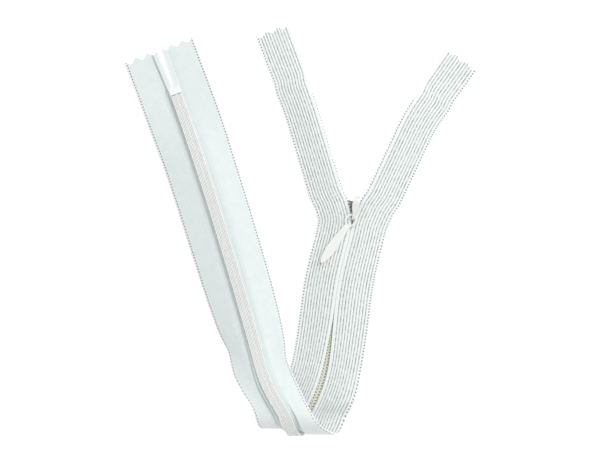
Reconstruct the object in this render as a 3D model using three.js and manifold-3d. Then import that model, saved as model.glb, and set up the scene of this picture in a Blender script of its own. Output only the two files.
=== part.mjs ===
// A concealed nylon zipper, partly open and folded back on itself.
//
// Millimetres, +Z up. The closed chain runs from the slider down the short leg (front up),
// round a soft fold loop, and back up the long leg (back up) to its bottom end. Above the
// slider the two stringers lie open as a left and a right wing.
//
// Each strip is a cross-section in (w, n), w outwards from the chain's centre line and n
// towards the zipper's front, swept along a route laid out by its headings.
import * as THREE from 'three';
import Module from 'manifold-3d';
import { mergeVertices } from 'three/addons/utils/BufferGeometryUtils.js';

// Tape
const HALF_WIDTH = 12.7; // centre line to selvedge
const TAPE_THICKNESS = 0.4;
const EDGE_GAP = 0.15; // centre line to folded edge
const FOLD_SPACE = 0.6; // between the tape and its folded margin
const MARGIN_WIDTH = 2.3;

// Coil, its core cord and its sewing
const COIL_WIDTH = 1.95;
const COIL_HEIGHT = 1.25;
const COIL_WALL = 0.35;
const COIL_CHAMFER = 0.3;
const LAYER_CLEARANCE = 0.1;
const STITCH_WIDTH = 1.0;
const STITCH_THICKNESS = 0.15;
const STITCH_CLEARANCE = 0.1;

// Lengths along the zipper, from the throat where the two stringers meet
const CLOSED_CHAIN = 205;
const BOTTOM_TAPE_END = 16.5; // tape past the last coil at the bottom
const OPEN_COIL = 47;
const LEFT_WING = 71.4;
const RIGHT_WING = 68.4;
const JOIN_GAP = 0.3; // between pieces that meet end to end

// Spacing along the strips
const ROUTE_STEP = 0.25;
const LEG_SPACING = 5.5;
const WING_SPACING = 3.5;
const LOOP_SPACING = 0.9;
const LOOP_MARGIN = 9; // either side of the loop keeps the loop's spacing

// The closed chain's course: [distance from throat, heading in degrees]
const CHAIN_HEADINGS = [
  [0, 11.5], [12, 14.5], [32, 7], [44, 8.5], [74, 29],
  [92, 31], [108, 15.5], [150, 17], [225, 21],
];
const THROAT = new THREE.Vector2(18.9, 3.7);
const LOOP_Y = -64.55; // where the loop starts to turn
const LOOP_RADIUS = 4.5; // inside the fold, on the front face
const FOLD_SHARE = 0.1; // of the loop left to each leg

// Heights of the front face
const FLOOR_GAP = 0.05;
const LEG_HEIGHT = 3.0;
const ARCH_HEIGHT = 2.8; // the long leg's own arch
const ARCH_FADE = [85, 115];
const LOOP_REACH = 20; // how far the loop's lift carries into the long leg
const SLIDER_RISE = [6, 32]; // past the throat, where the short leg comes down off the slider

// Where a tape bends across its width
const FLAT_ZONE = 3.0;
const BEND_LENGTH = 2.0;
const DROOP_FADE = [-16, -2]; // the short leg's edges leave the floor here, before the loop
const ROOF_RISE = [-1, 24]; // the long leg's edges come down here, past the loop
const ROOF_EDGE_LIFT = 0.25;
const STEEPEST_ROOF = 0.8; // sine of the steepest bend

// Near the fold the tape gathers sideways, most where the long leg crosses over
const GATHER = { left: 0.26, right: 0.42 };
const GATHER_RISE = 9;
const GATHER_FADE = [4, 26];

// Open stringers
const SWING = { left: 28.2, right: 13.6 }; // degrees off the slider's axis
const SPLAY = { left: 3.8, right: 10.0 }; // further turn of the tape ends
const MOUTH = 4.5; // the stringers turn over this far either side of the throat
const SPLAY_ZONE = [34, 50];
const UNROLL_ANGLE = 22; // how far an open stringer's margin unrolls
const UNROLL_SHIFT = 0.75;
const UNROLL_ZONE = [6.5, 12];
const CLOSING_LENGTH = 5; // the margin folds flat again this far past the top stop
const TIP_ZONE = [44, 62]; // where the wings sink past the coil

// Stops
const TOP_STOP_LENGTH = 2.4;
const BOTTOM_STOP_LENGTH = 2.6;

// Slider
const PLATE_THICKNESS = 0.7;
const PLATE_CLEARANCE = 0.15;
const SLIDER_TOP = 6.2;
const SLIDER_BOTTOM = -4.3;
const SHOULDER = -1; // where the flanges start to spread towards the mouth
const TAIL_CUT = 0.8;
const MOUTH_CUT = 1.2;
const WALL_THICKNESS = 0.7;
const WALL_CLEARANCE = 0.25;
const MOUTH_FLARE = 1.2;
const MOUTH_WALL_END = 1.6;
const LIP_THICKNESS = 0.35;
const LIP_REACH = 1.3;
const CROWN_WIDTH = 2.8;
const CROWN_THICKNESS = 0.7;
const HOOK_WIDTH = 1.0;
const SHOULDERS = [2.5, 3.2]; // where the lock spring widens from its hook

// Pull tab
const PULL_LENGTH = 20.6; // pivot to tip
const PULL_WIDTH = 3.6;
const PULL_THICKNESS = 0.7;
const PULL_EYE = { width: 2.5, length: 3.1 };
const PULL_BAR = 0.8; // the eye's rim
const PULL_PIVOT = new THREE.Vector3(0.13, 1.29, 1.0); // from the throat, on the slider's axes
const PULL_YAW = 23.5;
const PULL_TILT = 3;

// Levels through the zipper, front to back
const TAPE_BACK = -TAPE_THICKNESS;
const MARGIN_FRONT = TAPE_BACK - FOLD_SPACE;
const MARGIN_BACK = MARGIN_FRONT - TAPE_THICKNESS;
const MARGIN_END = EDGE_GAP + MARGIN_WIDTH;
const COIL_SIDE = EDGE_GAP + COIL_WIDTH;
const COIL_FRONT = MARGIN_BACK - LAYER_CLEARANCE;
const COIL_BACK = COIL_FRONT - COIL_HEIGHT;
const STITCH_FRONT = COIL_BACK - STITCH_CLEARANCE;
const STITCH_BACK = STITCH_FRONT - STITCH_THICKNESS;
const PLATE_FRONT = STITCH_BACK - PLATE_CLEARANCE;
const PLATE_BACK = PLATE_FRONT - PLATE_THICKNESS;
const SLIDER_HEIGHT = -PLATE_BACK; // front face's height over the slider's plate
const LOOP_LENGTH = Math.PI * LOOP_RADIUS;

const wasm = await Module();
wasm.setup();

const rad = THREE.MathUtils.degToRad;
const { smoothstep, lerp, clamp } = THREE.MathUtils;

// ---- Routes ----

function eased(table, s) {
  const next = table.findIndex(([distance]) => s < distance);
  if (next === 0) return table[0][1];
  if (next < 0) return table[table.length - 1][1];
  const [from, to] = [table[next - 1], table[next]];
  return lerp(from[1], to[1], smoothstep(s, from[0], to[0]));
}

// Follows a heading from a start point and returns a function of distance.
function layOut(start, first, last, headingAt) {
  const step = ROUTE_STEP;
  const points = [start.clone()];
  for (let s = first; s < last; s += step) {
    const angle = rad(headingAt(s + step / 2));
    const from = points[points.length - 1];
    points.push(new THREE.Vector2(from.x + Math.sin(angle) * step, from.y + Math.cos(angle) * step));
  }
  return (s) => {
    const at = clamp((s - first) / step, 0, points.length - 1.001);
    const point = points[Math.floor(at)].clone().lerp(points[Math.floor(at) + 1], at % 1);
    return { x: point.x, y: point.y, angle: rad(headingAt(s)) };
  };
}

// The closed chain is laid out on the unfolded strip: x stays x, and the second value is
// the distance past the line where the fold's loop starts.
const CHAIN_END = CLOSED_CHAIN + BOTTOM_TAPE_END;
const chainStart = new THREE.Vector2(THROAT.x, LOOP_Y - THROAT.y);
const chainRoute = layOut(chainStart, 0, CHAIN_END, (s) => -eased(CHAIN_HEADINGS, s));

function chainDistanceAt(past) {
  let [low, high] = [0, CHAIN_END];
  while (high - low > 0.01) {
    const middle = (low + high) / 2;
    if (chainRoute(middle).y < past) low = middle;
    else high = middle;
  }
  return (low + high) / 2;
}

function shortLegHeight(past) {
  const nearSlider = LOOP_Y - THROAT.y;
  const rise = 1 - smoothstep(past, nearSlider + SLIDER_RISE[0], nearSlider + SLIDER_RISE[1]);
  return LEG_HEIGHT + (SLIDER_HEIGHT - LEG_HEIGHT) * rise;
}

function longLegHeight(past) {
  const lift = LEG_HEIGHT + 2 * LOOP_RADIUS - ARCH_HEIGHT;
  const arch = ARCH_HEIGHT + lift / (1 + (past / LOOP_REACH) ** 2);
  return arch * (1 - smoothstep(past, ARCH_FADE[0], ARCH_FADE[1]));
}

// ---- Cross-sections bent across their width ----

const LEVER = HALF_WIDTH - FLAT_ZONE - BEND_LENGTH / 2;

// Bends the section beyond its flat zone by an angle, towards the front if positive.
function bendAcross(w, n, angle, squeeze) {
  const past = w - FLAT_ZONE;
  if (past <= 0) return [w, n];
  const turned = angle * Math.min(1, past / BEND_LENGTH);
  const curve = Math.min(past, BEND_LENGTH);
  const straight = past - curve;
  const chord = Math.abs(turned) < 1e-6 ? 1 : Math.sin(turned / 2) / (turned / 2);
  const along = curve * chord * Math.cos(turned / 2) + straight * Math.cos(angle);
  const up = curve * chord * Math.sin(turned / 2) + straight * Math.sin(angle);
  return [FLAT_ZONE + (along - n * Math.sin(turned)) * squeeze, up + n * Math.cos(turned)];
}

function shortLegBend(past) {
  const droop = Math.asin((shortLegHeight(past) - TAPE_THICKNESS - FLOOR_GAP) / LEVER);
  return -droop * (1 - smoothstep(past, DROOP_FADE[0], DROOP_FADE[1]));
}

function longLegBend(past) {
  const drop = (longLegHeight(past) - ROOF_EDGE_LIFT) / LEVER;
  const touching = Math.asin(clamp(drop, 0, STEEPEST_ROOF));
  return touching * smoothstep(past, ROOF_RISE[0], ROOF_RISE[1]);
}

function gather(past, side) {
  const tight = side > 0 ? GATHER.right : GATHER.left;
  const fade = 1 - smoothstep(past, GATHER_FADE[0], GATHER_FADE[1]);
  return 1 - tight * smoothstep(past + LOOP_LENGTH / 2, 0, GATHER_RISE) * fade;
}

function placeOnChain(s, across, n) {
  const side = Math.sign(across) || 1;
  const w = Math.abs(across);
  const { x, y, angle } = chainRoute(s);
  const outward = new THREE.Vector2(Math.cos(angle), -Math.sin(angle)).multiplyScalar(side);
  const here = y + outward.y * w;
  const past = here - LOOP_LENGTH;
  const bend = here < LOOP_LENGTH / 2 ? shortLegBend(here) : longLegBend(past);
  const [reach, lift] = bendAcross(w, n, bend, gather(past, side));
  return wrap(x + outward.x * reach, y + outward.y * reach, lift);
}

function wrap(x, past, lift) {
  if (past <= 0) return new THREE.Vector3(x, LOOP_Y - past, shortLegHeight(past) + lift);
  const beyond = past - LOOP_LENGTH;
  if (beyond >= 0) return new THREE.Vector3(x, LOOP_Y + beyond, longLegHeight(beyond) - lift);
  const turn = past / LOOP_RADIUS;
  const radius = LOOP_RADIUS - lift;
  const centre = LEG_HEIGHT + LOOP_RADIUS;
  return new THREE.Vector3(x, LOOP_Y - radius * Math.sin(turn), centre - radius * Math.cos(turn));
}

// ---- Open stringers ----

const SLIDER_HEADING = CHAIN_HEADINGS[0][1];
const sliderAxis = new THREE.Vector2(Math.sin(rad(SLIDER_HEADING)), Math.cos(rad(SLIDER_HEADING)));
const wingStart = THROAT.clone().addScaledVector(sliderAxis, -MOUTH);

function wingRoute(name, sign, length) {
  const headingAt = (u) => {
    const turned = SWING[name] * smoothstep(u, -MOUTH, MOUTH);
    const splayed = SPLAY[name] * smoothstep(u, SPLAY_ZONE[0], SPLAY_ZONE[1]);
    return SLIDER_HEADING + sign * (turned + splayed);
  };
  return layOut(wingStart, -MOUTH, length, headingAt);
}

const WINGS = {
  left: { sign: -1, length: LEFT_WING, route: wingRoute('left', -1, LEFT_WING) },
  right: { sign: 1, length: RIGHT_WING, route: wingRoute('right', 1, RIGHT_WING) },
};

function wingHeight(u) {
  const low = TAPE_THICKNESS + FOLD_SPACE + TAPE_THICKNESS + FLOOR_GAP;
  return lerp(SLIDER_HEIGHT, low, smoothstep(u, TIP_ZONE[0], TIP_ZONE[1]));
}

// Turns the margin and what is sewn to it about the folded edge.
function unroll(w, n, share) {
  const shifted = w + UNROLL_SHIFT * share;
  if (n > MARGIN_FRONT + FOLD_SPACE / 3) return [shifted, n];
  const pivot = [EDGE_GAP + UNROLL_SHIFT * share, (TAPE_BACK + MARGIN_FRONT) / 2];
  const angle = rad(UNROLL_ANGLE) * share;
  const [dw, dn] = [shifted - pivot[0], n - pivot[1]];
  return [
    pivot[0] + dw * Math.cos(angle) + dn * Math.sin(angle),
    pivot[1] - dw * Math.sin(angle) + dn * Math.cos(angle),
  ];
}

function placeOnWing(wing, u, across, n) {
  const { x, y, angle } = wing.route(u);
  const stopEnd = OPEN_COIL + JOIN_GAP + TOP_STOP_LENGTH;
  const opened = smoothstep(u, UNROLL_ZONE[0], UNROLL_ZONE[1]);
  const share = opened * (1 - smoothstep(u, stopEnd + JOIN_GAP, stopEnd + CLOSING_LENGTH));
  const [w, level] = unroll(across, n, share);
  const droop = Math.asin((wingHeight(u) - TAPE_THICKNESS - FLOOR_GAP) / (LEVER + UNROLL_SHIFT));
  const [reach, lift] = bendAcross(w, level, -droop, 1);
  const out = wing.sign * reach;
  return new THREE.Vector3(x + Math.cos(angle) * out, y - Math.sin(angle) * out, wingHeight(u) + lift);
}

// ---- Solids ----

function signedVolume(geometry) {
  const position = geometry.attributes.position;
  const [a, b, c] = [new THREE.Vector3(), new THREE.Vector3(), new THREE.Vector3()];
  let volume = 0;
  for (let i = 0; i < position.count; i += 3) {
    a.fromBufferAttribute(position, i);
    b.fromBufferAttribute(position, i + 1);
    c.fromBufferAttribute(position, i + 2);
    volume += a.dot(b.cross(c)) / 6;
  }
  return volume;
}

function turnInsideOut(geometry) {
  const position = geometry.attributes.position;
  for (let i = 0; i < position.count; i += 3) {
    const [x, y, z] = [position.getX(i), position.getY(i), position.getZ(i)];
    position.setXYZ(i, position.getX(i + 1), position.getY(i + 1), position.getZ(i + 1));
    position.setXYZ(i + 1, x, y, z);
  }
}

// Extrudes a section by one unit a station, then moves each vertex to its place.
function sweep(shape, stations, place) {
  const steps = stations.length - 1;
  let geometry = new THREE.ExtrudeGeometry(shape, { depth: steps, steps, bevelEnabled: false });
  if (geometry.index) geometry = geometry.toNonIndexed();
  const position = geometry.attributes.position;
  for (let i = 0; i < position.count; i += 1) {
    const station = stations[Math.round(position.getZ(i))];
    const at = place(station, position.getX(i), position.getY(i));
    position.setXYZ(i, at.x, at.y, at.z);
  }
  if (signedVolume(geometry) < 0) turnInsideOut(geometry);
  geometry.computeVertexNormals();
  return geometry;
}

function stationsBetween(from, to, spacing) {
  const count = Math.max(2, Math.ceil((to - from) / spacing));
  return Array.from({ length: count + 1 }, (_, i) => lerp(from, to, i / count));
}

const outline = (points) => new THREE.Shape(points.map(([x, y]) => new THREE.Vector2(x, y)));

function boxOutline(left, right, low, high) {
  return outline([[left, low], [right, low], [right, high], [left, high]]);
}

function chamferedOutline(left, right, low, high, cut) {
  return outline([
    [left + cut, low], [right - cut, low], [right, low + cut], [right, high - cut],
    [right - cut, high], [left + cut, high], [left, high - cut], [left, low + cut],
  ]);
}

// ---- Sections of the strips ----

function tapeSection() {
  const round = TAPE_THICKNESS / 2;
  const inner = EDGE_GAP + TAPE_THICKNESS;
  const [middle, bendEnd] = [lerp(HALF_WIDTH, FLAT_ZONE, 0.5), FLAT_ZONE + BEND_LENGTH];
  const across = [HALF_WIDTH, middle, bendEnd, FLAT_ZONE + BEND_LENGTH / 2, FLAT_ZONE];
  const front = across.map((w) => [w, 0]);
  const back = across.map((w) => [w, TAPE_BACK]).reverse();
  const fold = [
    [EDGE_GAP + round, 0], [EDGE_GAP, -round],
    [EDGE_GAP, MARGIN_BACK + round], [EDGE_GAP + round, MARGIN_BACK],
    [MARGIN_END, MARGIN_BACK], [MARGIN_END, MARGIN_FRONT], [inner, MARGIN_FRONT], [inner, TAPE_BACK],
  ];
  return outline([...front, ...fold, ...back]);
}

function coilSection() {
  const shape = chamferedOutline(EDGE_GAP, COIL_SIDE, COIL_BACK, COIL_FRONT, COIL_CHAMFER);
  const [left, right] = [EDGE_GAP + COIL_WALL, COIL_SIDE - COIL_WALL];
  shape.holes.push(boxOutline(left, right, COIL_BACK + COIL_WALL, COIL_FRONT - COIL_WALL));
  return shape;
}

function coreSection() {
  const inset = COIL_WALL + LAYER_CLEARANCE;
  return boxOutline(EDGE_GAP + inset, COIL_SIDE - inset, COIL_BACK + inset, COIL_FRONT - inset);
}

function stitchSection() {
  const middle = EDGE_GAP + COIL_WIDTH / 2;
  return boxOutline(middle - STITCH_WIDTH / 2, middle + STITCH_WIDTH / 2, STITCH_BACK, STITCH_FRONT);
}

const STRIPS = {
  tape: { section: tapeSection(), color: 0xe8eded, roughness: 0.9 },
  coil: { section: coilSection(), color: 0xf2f4f2, roughness: 0.45 },
  core_cord: { section: coreSection(), color: 0xe6e9e6, roughness: 0.9 },
  stitching: { section: stitchSection(), color: 0xf4f6f4, roughness: 0.8 },
};

const object = new THREE.Group();

function addPiece(name, geometry, look, parent = object) {
  const { color, roughness, metalness = 0 } = look;
  const mesh = new THREE.Mesh(geometry, new THREE.MeshStandardMaterial({ color, roughness, metalness }));
  mesh.name = name;
  parent.add(mesh);
  return mesh;
}

// ---- Strips of the closed chain and of the open stringers ----

const foldStart = chainDistanceAt(LOOP_LENGTH * FOLD_SHARE);
const foldEnd = chainDistanceAt(LOOP_LENGTH * (1 - FOLD_SHARE));

const CHAIN_PARTS = [
  { name: 'short', from: MOUTH + JOIN_GAP, to: foldStart },
  { name: 'fold', from: foldStart + JOIN_GAP, to: foldEnd },
  { name: 'long', from: foldEnd + JOIN_GAP, to: CHAIN_END },
];

// Stations lie close together round the loop and further apart along the legs.
function chainStations(from, to) {
  const [bendStart, bendEnd] = [foldStart - LOOP_MARGIN, foldEnd + LOOP_MARGIN];
  const stretches = [
    stationsBetween(from, Math.min(to, bendStart), LEG_SPACING),
    stationsBetween(Math.max(from, bendStart), Math.min(to, bendEnd), LOOP_SPACING),
    stationsBetween(Math.max(from, bendEnd), to, LEG_SPACING),
  ];
  const inOrder = stretches.filter((list) => list[list.length - 1] - list[0] > 0.1).flat();
  return inOrder.filter((s, i) => i === 0 || s - inOrder[i - 1] > 0.01);
}

function addChainStrips(side, sign) {
  for (const [strip, look] of Object.entries(STRIPS)) {
    for (const part of CHAIN_PARTS) {
      const end = strip === 'tape' ? part.to : Math.min(part.to, CLOSED_CHAIN);
      const stations = chainStations(part.from, end);
      const geometry = sweep(look.section, stations, (s, w, n) => placeOnChain(s, sign * w, n));
      addPiece(`${side}_${strip}_${part.name}`, geometry, look);
    }
  }
}

function addWingStrips(side) {
  const wing = WINGS[side];
  for (const [strip, look] of Object.entries(STRIPS)) {
    const end = strip === 'tape' ? wing.length : OPEN_COIL;
    const stations = stationsBetween(-MOUTH, end, WING_SPACING);
    const geometry = sweep(look.section, stations, (u, w, n) => placeOnWing(wing, u, w, n));
    addPiece(`${side}_${strip}_wing`, geometry, look);
  }
}

for (const [side, wing] of Object.entries(WINGS)) {
  addChainStrips(side, wing.sign);
  addWingStrips(side);
}

// ---- Stops ----

const STOP_LOOK = { color: 0xeef1ef, roughness: 0.5 };

function addTopStop(side) {
  const from = OPEN_COIL + JOIN_GAP;
  const section = chamferedOutline(EDGE_GAP, COIL_SIDE, COIL_BACK, COIL_FRONT, COIL_CHAMFER);
  const stations = stationsBetween(from, from + TOP_STOP_LENGTH, TOP_STOP_LENGTH);
  const geometry = sweep(section, stations, (u, w, n) => placeOnWing(WINGS[side], u, w, n));
  addPiece(`${side}_top_stop`, geometry, STOP_LOOK);
}

function addBottomStop() {
  const from = CLOSED_CHAIN + JOIN_GAP;
  const section = chamferedOutline(-COIL_SIDE, COIL_SIDE, COIL_BACK, COIL_FRONT, COIL_CHAMFER);
  const stations = stationsBetween(from, from + BOTTOM_STOP_LENGTH, BOTTOM_STOP_LENGTH);
  addPiece('bottom_stop', sweep(section, stations, placeOnChain), STOP_LOOK);
}

addTopStop('left');
addTopStop('right');
addBottomStop();

// ---- Slider: local axes are w across, u along the chain and n to the front ----

function toSolid(geometry) {
  const bare = geometry.clone();
  bare.deleteAttribute('normal');
  bare.deleteAttribute('uv');
  const merged = mergeVertices(bare, 1e-4);
  const vertProperties = new Float32Array(merged.attributes.position.array);
  const triVerts = new Uint32Array(merged.index.array);
  return new wasm.Manifold(new wasm.Mesh({ numProp: 3, vertProperties, triVerts }));
}

function toGeometry(solid) {
  const mesh = solid.getMesh();
  const geometry = new THREE.BufferGeometry();
  geometry.setAttribute('position', new THREE.BufferAttribute(new Float32Array(mesh.vertProperties), 3));
  geometry.setIndex(new THREE.BufferAttribute(new Uint32Array(mesh.triVerts), 1));
  geometry.computeVertexNormals();
  return geometry;
}

function slab(shape, low, high) {
  const depth = high - low;
  const geometry = new THREE.ExtrudeGeometry(shape, { depth, bevelEnabled: false, curveSegments: 6 });
  return toSolid(geometry.translate(0, 0, low));
}

const joinAll = (solids) => solids.reduce((whole, next) => whole.add(next));

const WALL_INNER = MARGIN_END + WALL_CLEARANCE;
const WALL_OUTER = WALL_INNER + WALL_THICKNESS;
const LIP_FRONT = TAPE_BACK - (FOLD_SPACE - LIP_THICKNESS) / 2;
const OVERLAP = 0.2; // how far joined blocks run into each other

function backPlate() {
  const [low, high, flare] = [SLIDER_BOTTOM, SLIDER_TOP, WALL_OUTER + MOUTH_FLARE];
  const half = [
    [WALL_OUTER - TAIL_CUT, low], [WALL_OUTER, low + TAIL_CUT], [WALL_OUTER, SHOULDER],
    [flare, MOUTH_WALL_END], [flare, high - MOUTH_CUT], [flare - MOUTH_CUT, high],
  ];
  const otherHalf = half.map(([w, u]) => [-w, u]).reverse();
  return slab(outline([...half, ...otherHalf]), PLATE_BACK, PLATE_FRONT);
}

function sideFlange(side) {
  const tail = SLIDER_BOTTOM + TAIL_CUT;
  const path = (inner, outer) => outline([
    [side * inner, tail], [side * outer, tail], [side * outer, SHOULDER],
    [side * (outer + MOUTH_FLARE), MOUTH_WALL_END], [side * (inner + MOUTH_FLARE), MOUTH_WALL_END],
    [side * inner, SHOULDER],
  ]);
  const wall = slab(path(WALL_INNER, WALL_OUTER), PLATE_FRONT - OVERLAP, LIP_FRONT);
  const lip = slab(path(WALL_INNER - LIP_REACH, WALL_INNER + OVERLAP), LIP_FRONT - LIP_THICKNESS, LIP_FRONT);
  return wall.add(lip);
}

const BRIDGE_TOP = 1.35;
const NECK = { half: 0.5, from: 3.4, to: 5.8 };
const WEDGE = { tip: 3, spread: 4.2, middle: 0.8, end: 1.1 };
const BRIDGE_HALF = 0.9;

function divider() {
  const back = SLIDER_TOP - OVERLAP;
  const wedge = outline([
    [0, WEDGE.tip], [WEDGE.middle, WEDGE.spread], [WEDGE.end, back],
    [-WEDGE.end, back], [-WEDGE.middle, WEDGE.spread],
  ]);
  const neck = boxOutline(-NECK.half, NECK.half, NECK.from, NECK.to);
  const bridge = boxOutline(-BRIDGE_HALF, BRIDGE_HALF, NECK.from - JOIN_GAP, NECK.to + 2 * JOIN_GAP);
  return joinAll([
    slab(wedge, PLATE_FRONT - OVERLAP, LIP_FRONT),
    slab(neck, LIP_FRONT - OVERLAP, BRIDGE_TOP),
    slab(bridge, JOIN_GAP, BRIDGE_TOP),
  ]);
}

const slider = new THREE.Group();
slider.position.set(THROAT.x, THROAT.y, SLIDER_HEIGHT);
slider.rotation.z = -rad(SLIDER_HEADING);
object.add(slider);

const BODY_LOOK = { color: 0xaeb4a4, roughness: 0.4, metalness: 0.6 };
const bodySolid = joinAll([backPlate(), sideFlange(1), sideFlange(-1), divider()]);
addPiece('slider_body', toGeometry(bodySolid), BODY_LOOK, slider);

const PRONG = { half: 0.2, from: 2.3, to: 2.6, depth: 0.4 };

// The lock spring is a leaf bent down at both ends, with a prong that reaches the coil.
function crownProfile() {
  const top = BRIDGE_TOP + JOIN_GAP + CROWN_THICKNESS;
  const under = top - CROWN_THICKNESS;
  return outline([
    [-0.45, 0.35], [-0.4, 1.3], [0.1, top - 0.35], [0.9, top - 0.05], [2.5, top + 0.1], [5.5, top + 0.15],
    [7.4, top - 0.1], [8.2, top - 0.6], [8.5, 0.6], [7.8, 0.6], [7.6, 1.2], [7.1, under - 0.1],
    [5.5, under + 0.05], [2.5, under + 0.05], [1.0, under], [0.5, under - 0.25], [0.3, 0.9], [0.25, 0.35],
  ]);
}

function crownPlan() {
  const [wide, narrow] = [CROWN_WIDTH / 2, HOOK_WIDTH / 2];
  return outline([
    [-narrow, -1], [narrow, -1], [narrow, SHOULDERS[0]], [wide, SHOULDERS[1]],
    [wide, 7.6], [wide * 0.6, 8.6], [-wide * 0.6, 8.6], [-wide, 7.6],
    [-wide, SHOULDERS[1]], [-narrow, SHOULDERS[0]],
  ]);
}

function lockSpring() {
  const depth = CROWN_WIDTH + 1;
  const side = new THREE.ExtrudeGeometry(crownProfile(), { depth, bevelEnabled: false });
  side.translate(0, 0, -depth / 2);
  side.applyMatrix4(new THREE.Matrix4().set(0, 0, 1, 0, 1, 0, 0, 0, 0, 1, 0, 0, 0, 0, 0, 1));
  const prong = boxOutline(-PRONG.half, PRONG.half, PRONG.from, PRONG.to);
  const leaf = toSolid(side).intersect(slab(crownPlan(), 0, 4));
  return leaf.add(slab(prong, COIL_FRONT - PRONG.depth, BRIDGE_TOP + JOIN_GAP + OVERLAP));
}

const METAL_LOOK = { color: 0xe4e5e2, roughness: 0.3, metalness: 0.3 };
addPiece('lock_spring', toGeometry(lockSpring()), METAL_LOOK, slider);

// ---- Pull tab: one flat piece, an eye and a leaf, along -Y of its own frame ----

function pullOutline() {
  const [rim, half] = [PULL_EYE.width / 2 + PULL_BAR + 0.2, PULL_WIDTH / 2];
  const eyeEnd = PULL_BAR / 2 + PULL_EYE.length;
  const shape = new THREE.Shape();
  shape.moveTo(-rim, -rim + PULL_BAR / 2);
  shape.lineTo(-rim, -eyeEnd + 0.6);
  shape.lineTo(-half * 0.86, -eyeEnd - 1.1);
  shape.lineTo(-half, -PULL_LENGTH + half);
  shape.absarc(0, -PULL_LENGTH + half, half, Math.PI, 2 * Math.PI, false);
  shape.lineTo(half * 0.86, -eyeEnd - 1.1);
  shape.lineTo(rim, -eyeEnd + 0.6);
  shape.lineTo(rim, -rim + PULL_BAR / 2);
  shape.absarc(0, -rim + PULL_BAR / 2, rim, 0, Math.PI, false);
  const eye = new THREE.Path();
  const middle = -PULL_BAR / 2 - PULL_EYE.length / 2;
  eye.absellipse(0, middle, PULL_EYE.width / 2, PULL_EYE.length / 2, 0, 2 * Math.PI, true);
  shape.holes.push(eye);
  return shape;
}

const pullGeometry = new THREE.ExtrudeGeometry(pullOutline(), {
  depth: PULL_THICKNESS,
  bevelEnabled: false,
  curveSegments: 10,
});
pullGeometry.translate(0, 0, -PULL_THICKNESS / 2);
const pull = addPiece('pull_tab', pullGeometry, METAL_LOOK, slider);
pull.rotation.set(rad(PULL_TILT), 0, -rad(PULL_YAW), 'ZYX');
pull.position.copy(PULL_PIVOT);

// ---- Origin at the middle of the underside's box ----

object.updateMatrixWorld(true);
const box = new THREE.Box3().setFromObject(object, true);
const middle = box.getCenter(new THREE.Vector3());
object.position.set(-middle.x, -middle.y, -box.min.z);

export default object;
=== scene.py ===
# %% [markdown]
# # A concealed zipper
#
# The real object is two knitted tapes, each with its inner edge folded under and a nylon
# coil sewn to the fold. A small metal slider joins the coils into a chain. Here the zipper
# lies half open, and its lower half is folded back over itself in one soft loop.
#
# The frame is the imported CAD model. The lock spring and pull made here ride on its bodies.

# %% Load the frame
import math

import bmesh
import bpy
from mathutils import Matrix, Vector


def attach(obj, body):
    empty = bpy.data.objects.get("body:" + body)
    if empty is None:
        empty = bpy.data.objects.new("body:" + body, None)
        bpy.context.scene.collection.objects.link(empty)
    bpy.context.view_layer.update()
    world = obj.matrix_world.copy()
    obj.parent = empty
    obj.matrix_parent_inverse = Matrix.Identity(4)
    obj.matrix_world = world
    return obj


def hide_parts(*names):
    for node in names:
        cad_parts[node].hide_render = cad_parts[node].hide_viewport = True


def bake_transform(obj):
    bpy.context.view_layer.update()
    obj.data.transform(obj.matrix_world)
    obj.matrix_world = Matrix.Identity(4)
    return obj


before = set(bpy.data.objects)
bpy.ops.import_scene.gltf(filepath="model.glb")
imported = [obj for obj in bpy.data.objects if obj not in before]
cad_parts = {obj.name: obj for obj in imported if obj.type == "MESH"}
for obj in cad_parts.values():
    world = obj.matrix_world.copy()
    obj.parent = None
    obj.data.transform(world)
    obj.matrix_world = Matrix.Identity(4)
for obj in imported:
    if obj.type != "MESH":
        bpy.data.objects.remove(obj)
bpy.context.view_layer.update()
bpy.ops.object.select_all(action="DESELECT")

# %% [markdown]
# ## Camera, floor and light
#
# A zipper in a catalogue is laid flat on white paper and seen straight from above with a
# long lens, so its edges stay parallel. The light is a bright overcast sky with one large
# lamp at the upper right, which is what gives each rib its shaded side.

# %% Camera
VIEW_WIDTH = 0.2098
VIEW_CENTRE = (-0.00040, 0.00182, 0.005)
LENS = 150.0
SENSOR = 36.0


def add_camera():
    data = bpy.data.cameras.new("camera")
    data.lens = LENS
    data.sensor_width = SENSOR
    camera = bpy.data.objects.new("camera", data)
    distance = VIEW_WIDTH * LENS / SENSOR
    camera.location = Vector(VIEW_CENTRE) + Vector((0, 0, distance))
    bpy.context.scene.collection.objects.link(camera)
    bpy.context.scene.camera = camera
    return distance


print("camera height", round(add_camera(), 3))


# %% Floor and lamps
PAPER_GLOW = 0.5
SKY_STRENGTH = 0.67
LAMP_PLACE = (0.28, 0.30, 0.68)
LAMP_SIZE = 0.42
LAMP_ENERGY = 3.2


def simple_material(name, color, roughness):
    material = bpy.data.materials.new(name)
    material.use_nodes = True
    shader = material.node_tree.nodes["Principled BSDF"]
    shader.inputs["Base Color"].default_value = (*color, 1)
    shader.inputs["Roughness"].default_value = roughness
    return material


def add_floor():
    bpy.ops.mesh.primitive_plane_add(size=4, location=(0, 0, -0.0001))
    floor = bpy.context.object
    floor.name = "floor"
    paper = simple_material("white_paper", (0.93, 0.93, 0.93), 0.9)
    glow = paper.node_tree.nodes["Principled BSDF"]
    glow.inputs["Emission Color"].default_value = (1, 1, 1, 1)
    glow.inputs["Emission Strength"].default_value = PAPER_GLOW
    floor.data.materials.append(paper)


def add_lamp(name, place, target, size, energy):
    data = bpy.data.lights.new(name, "AREA")
    data.size = size
    data.energy = energy
    lamp = bpy.data.objects.new(name, data)
    lamp.location = place
    lamp.rotation_euler = (Vector(target) - Vector(place)).to_track_quat("-Z", "Y").to_euler()
    bpy.context.scene.collection.objects.link(lamp)


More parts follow.
